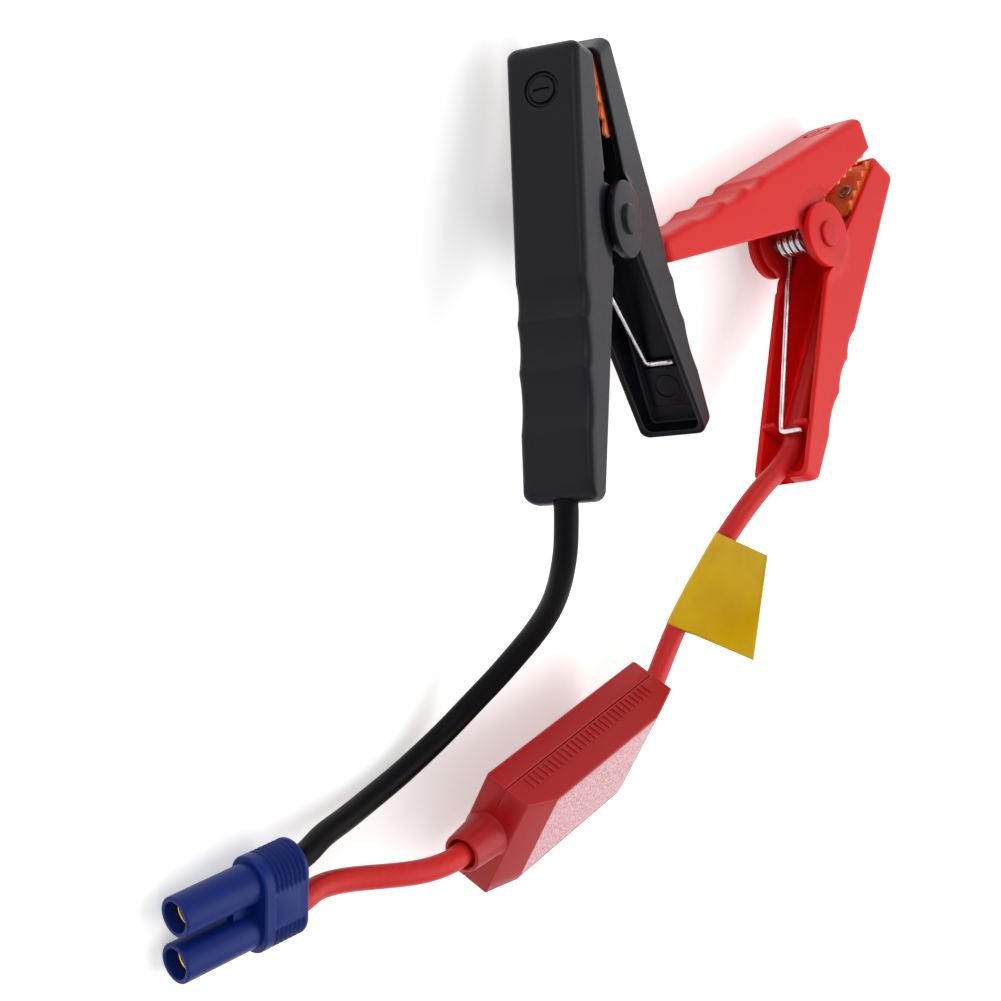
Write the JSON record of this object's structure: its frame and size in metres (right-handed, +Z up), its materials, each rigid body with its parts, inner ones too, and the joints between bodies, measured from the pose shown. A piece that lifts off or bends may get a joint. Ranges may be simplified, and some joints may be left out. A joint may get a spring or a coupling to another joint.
{
  "type": "clamp lead set of a jump starter pack",
  "caption": "Jump starter lead set: black and red sprung clamps joined by flexible cables to a two pole plug, with a diode box and a folded flag on the red lead.",
  "frame": {"origin": "centre of the set's outline on the floor, without the free cables and the flag", "axes": "+Z up; +Y from the plug towards the red clamp; +X from the clamps towards the diode box"},
  "size_m": [0.2086, 0.2416, 0.0462],
  "materials": {
    "black_clamp_plastic": "satin moulded",
    "red_clamp_plastic": "satin moulded",
    "pin_steel": "plain",
    "spring_steel": "bright zinc",
    "black_silicone": "satin",
    "red_silicone": "satin",
    "yellow_flag": "satin film",
    "red_box_plastic": "spark textured panel",
    "board_green": "solder mask",
    "diode_black": "matt",
    "blue_plastic": "satin moulded",
    "contact_brass": "bright",
    "jaw_copper": "copper plated",
    "rivet_brass": "bright"
  },
  "bodies": {
    "root": {"black_cable_half": "black_clamp_plastic", "black_pin": "pin_steel", "black_spring": "spring_steel", "black_cable_jaw": "jaw_copper", "black_cable_rivet": "rivet_brass", "black_lug": "jaw_copper", "black_lead": "black_silicone", "red_cable_half": "red_clamp_plastic", "red_pin": "pin_steel", "red_spring": "spring_steel", "red_cable_jaw": "jaw_copper", "red_cable_rivet": "rivet_brass", "red_lug": "jaw_copper", "red_lead": "red_silicone", "black_cable": "black_silicone", "red_cable_short": "red_silicone", "red_cable_long": "red_silicone", "cable_flag": "yellow_flag", "box_lower_shell": "red_box_plastic", "box_upper_shell": "red_box_plastic", "box_board": "board_green", "box_diodes": "diode_black", "box_lead_short": "red_silicone", "box_lead_long": "red_silicone", "plug_housing": "blue_plastic", "contact_negative": "contact_brass", "contact_positive": "contact_brass"},
    "black_lever": {"black_lever_half": "black_clamp_plastic", "black_lever_jaw": "jaw_copper", "black_lever_rivet": "rivet_brass"},
    "red_lever": {"red_lever_half": "red_clamp_plastic", "red_lever_jaw": "jaw_copper", "red_lever_rivet": "rivet_brass"}
  },
  "joints": [
    {"name": "black_clamp_hinge", "type": "hinge", "parent": "root", "child": "black_lever", "pos_m": [-0.06045, -0.02314, 0.0199], "axis": [0.1994, -0.214, -0.9563], "range_deg": [0, 40], "stiffness_Nm_per_rad": 0.35, "springref_deg": -57.3, "deforming": ["black_spring"]},
    {"name": "red_clamp_hinge", "type": "hinge", "parent": "root", "child": "red_lever", "pos_m": [-0.06755, 0.08316, 0.0144], "axis": [-0.2267, -0.1166, 0.967], "range_deg": [0, 40], "stiffness_Nm_per_rad": 0.35, "springref_deg": -57.3, "deforming": ["red_spring"]}
  ]
}
